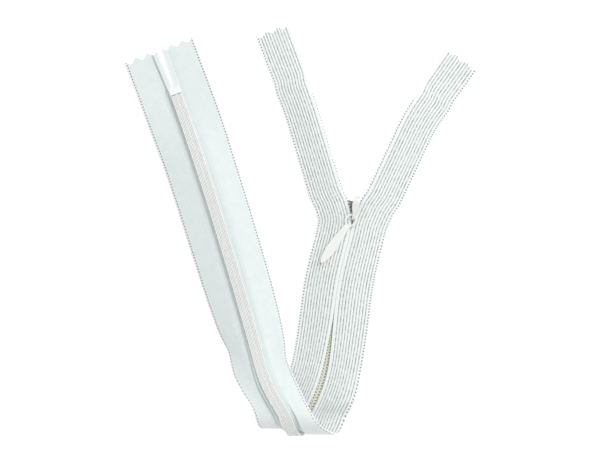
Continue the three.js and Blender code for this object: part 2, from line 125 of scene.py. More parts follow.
def add_sky(strength):
    world = bpy.data.worlds.new("sky")
    bpy.context.scene.world = world
    world.use_nodes = True
    background = world.node_tree.nodes["Background"]
    background.inputs["Color"].default_value = (1, 1, 1, 1)
    background.inputs["Strength"].default_value = strength


add_floor()
add_sky(SKY_STRENGTH)
add_lamp("key_lamp", LAMP_PLACE, (0, 0, 0), LAMP_SIZE, LAMP_ENERGY)
bpy.context.scene.view_settings.view_transform = "Standard"
print("floor, sky and one lamp")

# %% [markdown]
# ## The zipper's course
#
# The strips follow the same course as the CAD strips, so the same few rules are repeated
# here in millimetres. A cross-section is drawn in (w, n): w outwards from the chain's
# centre line and n towards the zipper's front. A course is laid out from its headings, and
# the closed chain is laid out on a flat strip that is then wrapped round the fold.

# %% Sizes, in millimetres
MM = 0.001
HALF_WIDTH = 12.7
TAPE_THICKNESS = 0.4
EDGE_GAP = 0.15
FOLD_SPACE = 0.6
COIL_WIDTH = 1.95
COIL_HEIGHT = 1.25
COIL_FRONT = -1.5
COIL_BACK = COIL_FRONT - COIL_HEIGHT
CLOSED_CHAIN = 205
CHAIN_END = CLOSED_CHAIN + 17.5
OPEN_COIL = 47
MOUTH = 4.5
THROAT = (18.9, 3.7)
LOOP_Y = -64.55
LOOP_RADIUS = 4.5
LOOP_LENGTH = math.pi * LOOP_RADIUS
LEG_HEIGHT = 3.0
SLIDER_HEIGHT = 3.85
SLIDER_HEADING = 11.5
ORIGIN = (-0.75395, 0.24547)
CHAIN_HEADINGS = [
    (0, 11.5), (12, 14.5), (32, 7), (44, 8.5), (74, 29),
    (92, 31), (108, 15.5), (150, 17), (225, 21),
]


# %% Easing and laying out a course
def smoothstep(x, low, high):
    t = min(1.0, max(0.0, (x - low) / (high - low)))
    return t * t * (3 - 2 * t)


def lerp(a, b, t):
    return a + (b - a) * t


def eased(table, s):
    if s < table[0][0]:
        return table[0][1]
    for (low, before), (high, after) in zip(table, table[1:]):
        if s < high:
            return lerp(before, after, smoothstep(s, low, high))
    return table[-1][1]


class Course:
    """Follows a heading from a start point; gives (x, y, heading) at a distance."""

    STEP = 0.25

    def __init__(self, start, first, last, heading_at):
        self.first, self.heading_at = first, heading_at
        self.points = [start]
        for i in range(int((last - first) / self.STEP) + 2):
            angle = math.radians(heading_at(first + (i + 0.5) * self.STEP))
            x, y = self.points[-1]
            self.points.append((x + math.sin(angle) * self.STEP, y + math.cos(angle) * self.STEP))

    def __call__(self, s):
        at = min(max((s - self.first) / self.STEP, 0), len(self.points) - 1.001)
        i, share = int(at), at - int(at)
        (x0, y0), (x1, y1) = self.points[i], self.points[i + 1]
        return lerp(x0, x1, share), lerp(y0, y1, share), math.radians(self.heading_at(s))


def chain_heading(s):
    return -eased(CHAIN_HEADINGS, s)


chain_course = Course((THROAT[0], LOOP_Y - THROAT[1]), 0, CHAIN_END, chain_heading)
print("chain of", CHAIN_END, "mm laid out")

# %% Heights and the bend across the width
FLAT_ZONE = 3.0
BEND_LENGTH = 2.0
LEVER = HALF_WIDTH - FLAT_ZONE - BEND_LENGTH / 2
FLOOR_GAP = 0.05
LONG_LEG_REST = 2.8
SAG_LENGTH = 20
MARGIN_LEVEL = -0.8
GATHER = {-1: 0.26, 1: 0.42}
PINCH = 0.27
SPREAD = 0.07
BELLY = 2.1


def short_leg_height(past):
    near = LOOP_Y - THROAT[1]
    return LEG_HEIGHT + (SLIDER_HEIGHT - LEG_HEIGHT) * (1 - smoothstep(past, near + 6, near + 32))


def long_leg_height(past):
    lift = LEG_HEIGHT + 2 * LOOP_RADIUS - LONG_LEG_REST
    return (LONG_LEG_REST + lift / (1 + (past / SAG_LENGTH) ** 2)) * (1 - smoothstep(past, 85, 115))


def bend_across(w, n, angle, squeeze):
    past = w - FLAT_ZONE
    if past <= 0:
        return w, n
    turned = angle * min(1, past / BEND_LENGTH)
    curve = min(past, BEND_LENGTH)
    chord = 1 if abs(turned) < 1e-6 else math.sin(turned / 2) / (turned / 2)
    along = curve * chord * math.cos(turned / 2) + (past - curve) * math.cos(angle)
    up = curve * chord * math.sin(turned / 2) + (past - curve) * math.sin(angle)
    return FLAT_ZONE + (along - n * math.sin(turned)) * squeeze, up + n * math.cos(turned)


def short_leg_bend(past):
    droop = math.asin((short_leg_height(past) - TAPE_THICKNESS - FLOOR_GAP) / LEVER)
    return -droop * (1 - smoothstep(past, -16, -2))


def long_leg_bend(past):
    drop = (long_leg_height(past) - 0.25) / LEVER
    return math.asin(min(0.8, max(0, drop))) * smoothstep(past, -1, 24)


def gather(past, side):
    fade = 1 - smoothstep(past, 4, 26)
    return 1 - GATHER[side] * smoothstep(past + LOOP_LENGTH / 2, 0, 9) * fade


def pinch(here, side):
    """The left tape narrows further in the loop itself."""
    if side > 0:
        return 1
    fade = 1 - smoothstep(here, LOOP_LENGTH - 1, LOOP_LENGTH + 16)
    return 1 - PINCH * smoothstep(here, -8, 5) * fade


def spread(here, side):
    """The right tape lies flatter and wider on the short leg, and the left on the long leg."""
    if side > 0:
        return 1 + SPREAD * (1 - smoothstep(here, -6, 6))
    return 1 + SPREAD * smoothstep(here, LOOP_LENGTH + 8, LOOP_LENGTH + 30)


def belly(here, side, w, n):
    """In the loop the right tape stands out as far as the coil does."""
    if side < 0 or n < MARGIN_LEVEL:
        return 0
    rise = smoothstep(here, -5, 3) * (1 - smoothstep(here, LOOP_LENGTH - 2, LOOP_LENGTH + 10))
    return -BELLY * rise * smoothstep(w, 2.0, 3.7)


# %% From the section to its place on the closed chain
def wrap(x, past, lift):
    if past <= 0:
        return x, LOOP_Y - past, short_leg_height(past) + lift
    beyond = past - LOOP_LENGTH
    if beyond >= 0:
        return x, LOOP_Y + beyond, long_leg_height(beyond) - lift
    turn = past / LOOP_RADIUS
    radius = LOOP_RADIUS - lift
    return x, LOOP_Y - radius * math.sin(turn), LEG_HEIGHT + LOOP_RADIUS - radius * math.cos(turn)


def in_row(x, y, z):
    return Vector(((x + ORIGIN[0]) * MM, (y + ORIGIN[1]) * MM, z * MM))


def distance_past(s, side, w):
    _, y, angle = chain_course(s)
    return y - math.sin(angle) * side * w


def on_chain(s, side, w, n):
    x, y, angle = chain_course(s)
    out_x, out_y = math.cos(angle) * side, -math.sin(angle) * side
    here = y + out_y * w
    past = here - LOOP_LENGTH
    bend = short_leg_bend(here) if here < LOOP_LENGTH / 2 else long_leg_bend(past)
    width = gather(past, side) * pinch(here, side) * spread(here, side)
    reach, lift = bend_across(w, n, bend, width)
    lift += belly(here, side, w, n)
    return in_row(*wrap(x + out_x * reach, y + out_y * reach, lift))


# %% From the section to its place on an open stringer
SWING = {-1: 28.2, 1: 13.6}
SPLAY = {-1: 3.8, 1: 10.0}
WING_LENGTH = {-1: 72.4, 1: 69.0}
WING_START = -12.0
UNROLL_SHIFT = 0.75
UNROLL_ANGLE = 2
UNROLL_LEVEL = -0.7


def wing_course(side):
    def heading_at(u):
        turned = SWING[side] * smoothstep(u, -MOUTH, MOUTH)
        return SLIDER_HEADING + side * (turned + SPLAY[side] * smoothstep(u, 34, 50))

    axis = math.radians(SLIDER_HEADING)
    start = (THROAT[0] + math.sin(axis) * WING_START, THROAT[1] + math.cos(axis) * WING_START)
    return Course(start, WING_START, WING_LENGTH[side], heading_at)


wing_courses = {side: wing_course(side) for side in (-1, 1)}


def wing_height(u):
    return lerp(SLIDER_HEIGHT, 1.45, smoothstep(u, 44, 62))


def unroll(w, n, share):
    shifted = w + UNROLL_SHIFT * share
    if n > MARGIN_LEVEL:
        return shifted, n
    pivot_w, pivot_n = EDGE_GAP + UNROLL_SHIFT * share, UNROLL_LEVEL
    angle = math.radians(UNROLL_ANGLE) * share
    dw, dn = shifted - pivot_w, n - pivot_n
    turned_w = pivot_w + dw * math.cos(angle) + dn * math.sin(angle)
    return turned_w, pivot_n - dw * math.sin(angle) + dn * math.cos(angle)


def on_open_part(u, side, w, n):
    x, y, angle = wing_courses[side](u)
    share = smoothstep(u, 6.5, 12) * (1 - smoothstep(u, 50, 54.7))
    w, n = unroll(w, n, share)
    droop = math.asin((wing_height(u) - TAPE_THICKNESS - FLOOR_GAP) / (LEVER + UNROLL_SHIFT))
    reach, lift = bend_across(w, n, -droop, 1 + SPREAD if side > 0 else 1)
    out = side * reach
    return in_row(x + math.cos(angle) * out, y - math.sin(angle) * out, wing_height(u) + lift)


def on_wing(u, side, w, n):
    """Below the throat a wing strip starts on the chain and eases over to its own course."""
    if u >= 0:
        return on_open_part(u, side, w, n)
    share = smoothstep(u, -9, -1)
    if share == 0:
        return on_chain(-u, side, w, n)
    return on_chain(-u, side, w, n).lerp(on_open_part(u, side, w, n), share)


print("right wing ends at", [round(v, 4) for v in on_wing(WING_LENGTH[1], 1, HALF_WIDTH, 0)])

# %% [markdown]
# ## Strips
#
# Tape, coil, cord and thread run the whole length of the real zipper. To bend at a joint a
# piece may cross only that one joint, so each strip is made in three: one over the throat,
# one from there to the middle of the fold, and one from the middle of the fold to the end.
# Neighbouring pieces share the same last row, so no gap opens between them.

# %% Where the strips divide
SEAM = 10.0
FOLD_MIDDLE = LOOP_LENGTH / 2


def fold_middle_at(side, w):
    """Distance along the chain at which a point w out from the centre crosses the fold's middle."""
    low, high = 40.0, 110.0
    for _ in range(24):
        middle = (low + high) / 2
        if distance_past(middle, side, w) < FOLD_MIDDLE:
            low = middle
        else:
            high = middle
    return (low + high) / 2


def stations(stretches):
    """Shares from 0 to 1 made of stretches, each (end, spacing)."""
    marks, at = [0.0], 0.0
    for end, spacing in stretches:
        count = max(1, round((end - at) / spacing))
        marks += [lerp(at, end, (i + 1) / count) for i in range(count)]
        at = end
    return [mark / at for mark in marks]


# %% A mesh from rows of points
def end_caps(ring, pairs):
    """Faces that close a ring. pairs lists the points that face each other across a strip."""
    if not pairs:
        return [tuple(range(ring))]
    caps = []
    for (a, b), (c, d) in zip(pairs, pairs[1:]):
        caps.append(tuple(dict.fromkeys((a, c, d, b))))
    return caps


def mesh_from_rows(name, rows, around, along, pairs=None):
    """Each row is a closed ring of points. around is (size, sign) a point and along is one
    value a point, for the pattern."""
    count, ring = len(rows), len(rows[0])
    points = [point for row in rows for point in row]
    faces = []
    for i in range(count - 1):
        for k in range(ring):
            after = (k + 1) % ring
            faces.append((i * ring + k, i * ring + after, (i + 1) * ring + after, (i + 1) * ring + k))
    caps = end_caps(ring, pairs)
    faces += [cap[::-1] for cap in caps]
    faces += [tuple((count - 1) * ring + k for k in cap) for cap in caps]
    mesh = bpy.data.meshes.new(name)
    mesh.from_pydata(points, [], faces)
    uv = mesh.uv_layers.new(name="cloth")
    for face in mesh.polygons[:(count - 1) * ring]:
        k = face.vertices[0] % ring
        sign = around[k][1]
        for loop in face.loop_indices:
            vertex = mesh.loops[loop].vertex_index
            uv.data[loop].uv = (sign * around[vertex % ring][0], along[vertex // ring][vertex % ring])
    outward(mesh)
    mesh.shade_smooth()
    mark_ends(mesh, ring, count)
    piece = bpy.data.objects.new(name, mesh)
    bpy.context.scene.collection.objects.link(piece)
    return piece


def outward(mesh):
    work = bmesh.new()
    work.from_mesh(mesh)
    if work.calc_volume(signed=True) < 0:
        bmesh.ops.reverse_faces(work, faces=work.faces)
    work.to_mesh(mesh)
    work.free()


def mark_ends(mesh, ring, count):
    last = (count - 1) * ring
    for edge in mesh.edges:
        a, b = edge.vertices
        if (a < ring and b < ring) or (a >= last and b >= last):
            edge.use_edge_sharp = True


# %% [markdown]
# ## Tapes
#
# The front of the tape is knitted in raised ribs about a millimetre apart, with a smooth
# selvedge outside a row of small holes. The back is flat. A rib is real relief here: the
# section's front line rises and falls, and sweeping it along the course makes the ribs.
# The cut ends are pinked in a zigzag, as scissors leave them so that they don't fray.

# %% The tape's section
RIB_PITCH = 1.04
RIB_HEIGHT = 0.26
HOLE_ROW = 11.85
RIBS_END = 11.4
SAMPLES_PER_RIB = 7


def rib(w):
    """Height of the front face: ridges at 0, valleys below."""
    swell = 0.5 - 0.5 * math.cos(2 * math.pi * (HOLE_ROW - w) / RIB_PITCH)
    at_edges = smoothstep(w, 0.3, 0.9) * (1 - smoothstep(w, RIBS_END, HOLE_ROW))
    dip = 0.12 * math.exp(-((w - HOLE_ROW) / 0.3) ** 2)
    return -RIB_HEIGHT * (1 - swell ** 0.7) * at_edges - dip


def tape_section():
    """Points (w, n, size, sign) round the section; sign tells front from back."""
    steps = int((RIBS_END + 0.4) / RIB_PITCH * SAMPLES_PER_RIB)
    outer = [HALF_WIDTH - 0.01, HALF_WIDTH - 0.15, 12.25, 11.9]
    outer += [lerp(HOLE_ROW, 0.45, i / steps) for i in range(steps + 1)]
    front = [(w, front_height(w), w, 1) for w in outer]
    back = [(w, -TAPE_THICKNESS + 0.04 * (w > HALF_WIDTH - 0.1), w, -1) for w in outer]
    inner = EDGE_GAP + TAPE_THICKNESS
    turn = [(0.32, -0.03), (0.2, -0.14), (EDGE_GAP, -0.32), (EDGE_GAP, -1.15), (0.23, -1.34), (0.4, -1.4)]
    front += [(w, n, 0.3, 1) for w, n in turn]
    back += [(inner + 0.06, -0.42, inner, -1), (inner, -0.5, inner, -1), (inner, -0.62, inner, -1)]
    back += [(inner, -0.78, inner, -1), (inner, -0.92, inner, -1), (inner + 0.08, -1.0, inner, -1)]
    for w in (0.9, 1.4, 1.9, 2.3):
        front.append((w, -1.4, w, -1))
        back.append((w, -1.0, w, -1))
    front.append((2.43, -1.27, 2.4, -1))
    back.append((2.43, -1.13, 2.4, -1))
    return front + back[::-1]


def front_height(w):
    if w > HALF_WIDTH - 0.1:
        return -0.1
    return 0.04 if w > HOLE_ROW + 0.4 else rib(w)


TAPE = tape_section()
ACROSS = [(i, len(TAPE) - 1 - i) for i in range(len(TAPE) // 2)]
print(len(TAPE), "points round the tape's section")

# %% Pinked ends, and the slot that opens towards the fold
PINK_PITCH = 4.2
PINK_DEPTH = 1.6
FOLD_SLOT = 0.9
END_SLOT = 0.5
SHUT = 0.14


def pinking(w):
    """How far the cut end steps back at w."""
    phase = (w / PINK_PITCH) % 1
    return PINK_DEPTH * (1 - abs(2 * phase - 1))


def slot_opening(s):
    """The folded edges draw apart where the short leg nears the fold, and at the cut end."""
    if s > CLOSED_CHAIN:
        return END_SLOT * smoothstep(s, CLOSED_CHAIN + 2, CHAIN_END)
    return FOLD_SLOT * smoothstep(s, 30, 60) * (1 - smoothstep(s, 95, 125))


def opened(w, s):
    """Near the slider the folded edges meet instead."""
    fade = 1 - smoothstep(w, 0, 9)
    shut = SHUT * smoothstep(s, 1, 5) * (1 - smoothstep(s, 34, 46))
    return w + slot_opening(s) * fade - shut * (1 - smoothstep(w, 0, 2))


# %% The three tapes of each side
SIDES = {"left": -1, "right": 1}


def end_share(mark, start):
    return max(0.0, (mark - start) / (1 - start))


def tape_rows(place, marks, first, last, cut=None):
    """first and last give the distance at w; cut gives how far the end steps back."""
    rows, along = [], []
    for mark in marks:
        row, values = [], []
        for w, n, _, _ in TAPE:
            s = lerp(first(w), last(w), mark)
            if cut:
                s -= cut(w) * end_share(mark, 0.93)
            row.append(place(s, w, n))
            values.append(s)
        rows.append(row)
        along.append(values)
    return rows, along


def make_tape(name, place, marks, first, last, cut=None):
    rows, along = tape_rows(place, marks, first, last, cut)
    return mesh_from_rows(name, rows, [(size, sign) for _, _, size, sign in TAPE], along, ACROSS)


wing_marks = stations([(20, 0.8), (60, 1.6), (80, 1.1)])
short_marks = stations([(40, 1.8), (62, 0.7)])
long_marks = stations([(20, 0.7), (110, 1.8), (140, 1.4)])
tapes = {}
for side_name, side in SIDES.items():
    tapes[side_name, "open"] = make_tape(
        f"{side_name}_open_tape",
        lambda u, w, n, side=side: on_wing(u, side, opened(w, max(-u, 0)), n),
        wing_marks, lambda w: -SEAM, lambda w, side=side: WING_LENGTH[side], pinking,
    )
    tapes[side_name, "short"] = make_tape(
        f"{side_name}_short_tape",
        lambda s, w, n, side=side: on_chain(s, side, opened(w, s), n),
        short_marks, lambda w: SEAM, lambda w, side=side: fold_middle_at(side, opened(w, 80)),
    )
    tapes[side_name, "long"] = make_tape(
        f"{side_name}_long_tape",
        lambda s, w, n, side=side: on_chain(s, side, opened(w, s), n),
        long_marks, lambda w, side=side: fold_middle_at(side, opened(w, 80)), lambda w: CHAIN_END, pinking,
    )
print(sum(len(t.data.polygons) for t in tapes.values()), "faces in six tapes")

# %% [markdown]
# ## Coils, cords and sewing
#
# Each coil is one nylon filament wound into flattened turns round a cord. Its heads reach
# past the centre line, and the two sides are half a turn apart, so they sit between each
# other. A helix is swept as a thin tube with few sides, because there are hundreds of turns.
# The sewing that holds the coil to the folded margin shows on the back as a row of beads.

# %% A tube along a line of points
TUBE_SIDES = 5


def tube_rows(line, radius_at, sides=TUBE_SIDES):
    rows = []
    for i, point in enumerate(line):
        ahead = (line[min(i + 1, len(line) - 1)] - line[max(i - 1, 0)]).normalized()
        across = ahead.cross(Vector((0.13, 0.21, 0.97))).normalized()
        up = across.cross(ahead)
        radius = radius_at(i) * MM
        ring = []
        for k in range(sides):
            angle = 2 * math.pi * k / sides
            ring.append(point + across * (radius * math.cos(angle)) + up * (radius * math.sin(angle)))
        rows.append(ring)
    return rows


def make_tube(name, line, radius_at, sides=TUBE_SIDES):
    rows = tube_rows(line, radius_at, sides)
    around = [(k / sides, 1) for k in range(sides)]
    travelled, along = 0.0, []
    for i in range(len(line)):
        if i:
            travelled += (line[i] - line[i - 1]).length / MM
        along.append([travelled] * sides)
    return mesh_from_rows(name, rows, around, along)


# %% The coil's turns
COIL_PITCH = 1.1
FILAMENT = 0.27
HEAD = -0.42
TURN_STEPS = 12


def flattened(v):
    return math.copysign(abs(v) ** 0.65, v)


def turn_point(phase):
    """(w, n) round one flattened turn, from its head: over the front, round the back."""
    angle = 2 * math.pi * phase
    middle = (HEAD + EDGE_GAP + COIL_WIDTH - FILAMENT) / 2
    half = (EDGE_GAP + COIL_WIDTH - FILAMENT - HEAD) / 2
    depth = COIL_HEIGHT / 2 - FILAMENT
    c, s = math.cos(angle), math.sin(angle)
    return middle - half * flattened(c), (COIL_FRONT + COIL_BACK) / 2 + depth * flattened(s)


def coil_line(place, start, end, side):
    offset = 0.5 if side > 0 else 0.0
    steps = int((end - start) / COIL_PITCH * TURN_STEPS)
    line = []
    for i in range(steps + 1):
        s = start + i * COIL_PITCH / TURN_STEPS
        w, n = turn_point(s / COIL_PITCH + offset)
        line.append(place(s, w, n))
    return line


def on_chain_signed(s, side, w, n):
    """A coil's head reaches past the centre line, where w is negative."""
    if w >= 0:
        return on_chain(s, side, w, n)
    edge = on_chain(s, side, 0.0, n)
    inner = on_chain(s, side, 0.5, n)
    return edge + (edge - inner) * (-w / 0.5)


def on_wing_signed(u, side, w, n):
    edge = on_wing(u, side, max(w, 0.0), n)
    if w >= 0:
        return edge
    inner = on_wing(u, side, 0.5, n)
    return edge + (edge - inner) * (-w / 0.5)


# %% Coils, cords and sewing threads
THREAD_LINES = (0.22, 0.72, 1.22, 1.72)
THREAD_LEVEL = -2.8
CORD_RADIUS = 0.3


def straight_line(place, start, end, w, n, spacing):
    count = max(2, int((end - start) / spacing))
    return [place(lerp(start, end, i / count), w, n) for i in range(count + 1)]


def make_run(side_name, part, place, start, end, side):
    made = {}
    turns = coil_line(place, start, end, side)
    made["coil"] = make_tube(f"{side_name}_{part}_coil", turns, lambda i: FILAMENT)
    core = straight_line(place, start, end, 0.95, (COIL_FRONT + COIL_BACK) / 2, 1.2)
    made["core_cord"] = make_tube(f"{side_name}_{part}_core_cord", core, lambda i: CORD_RADIUS, 6)
    threads = []
    for number, w in enumerate(THREAD_LINES):
        line = straight_line(place, start, end, w, THREAD_LEVEL, COIL_PITCH / 4)
        bead = lambda i, number=number: 0.23 + 0.05 * (math.cos(i * math.pi / 2 + number * math.pi) > 0.5)
        threads.append(make_tube(f"{side_name}_{part}_sewing", line, bead))
    bpy.ops.object.select_all(action="DESELECT")
    for thread in threads:
        thread.select_set(True)
    bpy.context.view_layer.objects.active = threads[0]
    bpy.ops.object.join()
    made["stitching"] = threads[0]
    return made


runs = {}
for side_name, side in SIDES.items():
    divide = fold_middle_at(side, 1.0)
    wing_place = lambda u, w, n, side=side: on_wing_signed(u, side, w, n)
    chain_place = lambda s, w, n, side=side: on_chain_signed(s, side, w, n)
    runs[side_name, "open"] = make_run(side_name, "open", wing_place, -SEAM, OPEN_COIL, side)
    runs[side_name, "short"] = make_run(side_name, "short", chain_place, SEAM, divide, side)
    runs[side_name, "long"] = make_run(side_name, "long", chain_place, divide, CLOSED_CHAIN, side)
strip_faces = sum(len(p.data.polygons) for run in runs.values() for p in run.values())
print(strip_faces, "faces in coils, cords and sewing")

# %% [markdown]
# ## Metal parts
#
# The slider's body is a die casting, and it stays as the CAD made it with a lacquered
# finish, painted dark olive as a painted shade for the shadow it lies in between the tapes.
# The lock spring over it is a strap of sheet metal: a flat strip is extruded row by row
# along its bent profile, then given its thickness and round edges.

# %% The slider's own axes
def slider_matrix():
    turn = Matrix.Rotation(-math.radians(SLIDER_HEADING), 4, "Z")
    return Matrix.Translation(in_row(*THROAT, SLIDER_HEIGHT)) @ turn


def finish_rigid(piece, matrix):
    """Applies the piece's place to its mesh, so that its object stays at the origin."""
    bpy.ops.object.mode_set(mode="OBJECT")
    bpy.ops.object.select_all(action="DESELECT")
    piece.select_set(True)
    bpy.context.view_layer.objects.active = piece
    piece.matrix_world = matrix @ piece.matrix_world
    bpy.ops.object.transform_apply(location=True, rotation=True, scale=True)


def apply_modifiers(piece):
    bpy.context.view_layer.objects.active = piece
    for modifier in list(piece.modifiers):
        bpy.ops.object.modifier_apply(modifier=modifier.name)


# %% Lock spring
CROWN_PATH = [
    (0.25, 0.36, 0.42), (-0.05, 0.5, 0.45), (-0.2, 0.9, 0.48), (-0.1, 1.35, 0.5), (0.25, 1.75, 0.52),
    (0.85, 1.98, 0.5), (1.6, 2.06, 0.52), (2.3, 2.1, 0.66), (3.0, 2.12, 1.02), (4.2, 2.16, 1.26),
    (5.8, 2.14, 1.3), (7.0, 2.02, 1.28), (7.7, 1.72, 1.12), (8.15, 1.2, 0.85), (8.3, 0.6, 0.6),
]


def make_lock_spring():
    """CROWN_PATH gives the middle line as (distance up the slider, height, half width)."""
    bpy.ops.mesh.primitive_plane_add(size=1)
    strap = bpy.context.object
    strap.name = "lock_spring_strap"
    bpy.ops.object.mode_set(mode="EDIT")
    work = bmesh.from_edit_mesh(strap.data)
    first, second = CROWN_PATH[:2]
    for vertex in work.verts:
        u, n, half = first if vertex.co.y < 0 else second
        vertex.co = Vector((math.copysign(half, vertex.co.x), u, n)) * MM
    select_row(work, second)
    bmesh.update_edit_mesh(strap.data)
    for before, after in zip(CROWN_PATH[1:], CROWN_PATH[2:]):
        step = (0, (after[0] - before[0]) * MM, (after[1] - before[1]) * MM)
        bpy.ops.mesh.extrude_region_move(TRANSFORM_OT_translate={"value": step})
        bpy.ops.transform.resize(value=(after[2] / before[2], 1, 1))
    bpy.ops.object.mode_set(mode="OBJECT")
    return strap


def select_edges(work, wanted):
    """Deselecting an edge also drops its corners, so everything is dropped first."""
    for element in (*work.verts, *work.edges, *work.faces):
        element.select_set(False)
    for edge in work.edges:
        if wanted(edge):
            edge.select_set(True)


def select_row(work, row):
    u, n, _ = row
    row_verts = {v for v in work.verts if abs(v.co.y - u * MM) < 1e-7 and abs(v.co.z - n * MM) < 1e-7}
    select_edges(work, lambda edge: all(v in row_verts for v in edge.verts))


def thicken(piece, thickness, bevel, levels=2):
    solid = piece.modifiers.new("thickness", "SOLIDIFY")
    solid.thickness = thickness * MM
    solid.offset = 0
    edge = piece.modifiers.new("round edges", "BEVEL")
    edge.width = bevel * MM
    edge.segments = 2
    edge.limit_method = "ANGLE"
    smooth = piece.modifiers.new("smooth", "SUBSURF")
    smooth.levels = smooth.render_levels = levels
    apply_modifiers(piece)
    piece.data.shade_smooth()


lock_spring = make_lock_spring()
thicken(lock_spring, 0.6, 0.18)
finish_rigid(lock_spring, slider_matrix())
print("lock spring faces:", len(lock_spring.data.polygons))

# %% [markdown]
# ## Pull tab
#
# A stamped leaf with an eye at its top. The eye's hole comes first, as a ring of edges.
# Extruding the ring outwards makes the rim, and extruding the rim's lower edges downwards
# makes the leaf. Its flat sheet then gets thickness and round edges.

# %% Pull tab
PULL_PIVOT = (0.2, 1.26, 1.0)
PULL_TILT = 3
PULL_YAW = 23.5
EYE_HALF = (1.4, 1.7)
EYE_CENTRE = -(0.4 + EYE_HALF[1])
RIM = 0.8
LEAF = [
    (-3.8, 1.2), (-4.6, 0.98), (-6.5, 1.15), (-9.0, 1.48), (-12.0, 1.74), (-14.5, 1.76),
    (-16.8, 1.5), (-18.6, 1.1), (-19.7, 0.68), (-20.2, 0.3),
]


def make_pull():
    bpy.ops.mesh.primitive_circle_add(vertices=24, radius=MM, fill_type="NOTHING")
    leaf = bpy.context.object
    leaf.name = "pull_leaf"
    bpy.ops.object.mode_set(mode="EDIT")
    bpy.ops.mesh.select_all(action="SELECT")
    bpy.ops.transform.resize(value=(EYE_HALF[0], EYE_HALF[1], 1))
    centre = (0, EYE_CENTRE * MM, 0)
    bpy.ops.transform.translate(value=centre)
    bpy.ops.mesh.extrude_edges_move()
    grow = ((EYE_HALF[0] + RIM) / EYE_HALF[0], (EYE_HALF[1] + RIM) / EYE_HALF[1], 1)
    bpy.ops.transform.resize(value=grow, center_override=centre)
    work = bmesh.from_edit_mesh(leaf.data)
    select_lower_rim(work)
    bmesh.update_edit_mesh(leaf.data)
    bpy.ops.mesh.extrude_edges_move()
    flatten_row(leaf, LEAF[0])
    for before, after in zip(LEAF, LEAF[1:]):
        step = (0, (after[0] - before[0]) * MM, 0)
        bpy.ops.mesh.extrude_edges_move(TRANSFORM_OT_translate={"value": step})
        bpy.ops.transform.resize(value=(after[1] / before[1], 1, 1), center_override=(0, after[0] * MM, 0))
    bpy.ops.object.mode_set(mode="OBJECT")
    return leaf


def select_lower_rim(work):
    """Edges of the outer ring that face down the leaf."""
    low = (EYE_CENTRE - 0.9) * MM
    lower = {v for v in work.verts if v.select and v.co.y < low}
    select_edges(work, lambda edge: edge.is_boundary and all(v in lower for v in edge.verts))


def flatten_row(leaf, row):
    """Brings the newly extruded row to one line across the leaf."""
    work = bmesh.from_edit_mesh(leaf.data)
    chosen = sorted((v for v in work.verts if v.select), key=lambda v: v.co.x)
    for i, vertex in enumerate(chosen):
        share = 2 * i / (len(chosen) - 1) - 1
        vertex.co = Vector((share * row[1] * MM, row[0] * MM, 0))
    bmesh.update_edit_mesh(leaf.data)


def pull_matrix():
    tilt = Matrix.Rotation(math.radians(PULL_TILT), 4, "X")
    yaw = Matrix.Rotation(-math.radians(PULL_YAW), 4, "Z")
    return slider_matrix() @ Matrix.Translation(Vector(PULL_PIVOT) * MM) @ yaw @ tilt


pull = make_pull()
thicken(pull, 0.62, 0.2)
finish_rigid(pull, pull_matrix())
print("pull faces:", len(pull.data.polygons), "box", [round(v * 1000, 1) for v in pull.dimensions])

# %% [markdown]
# ## Materials
#
# Cloth patterns follow the strip, so they read the piece's own UV map, which holds
# millimetres: across the tape on one axis and along it on the other. The front has a
# positive first value and the back a negative one, so a single material can tell them apart.


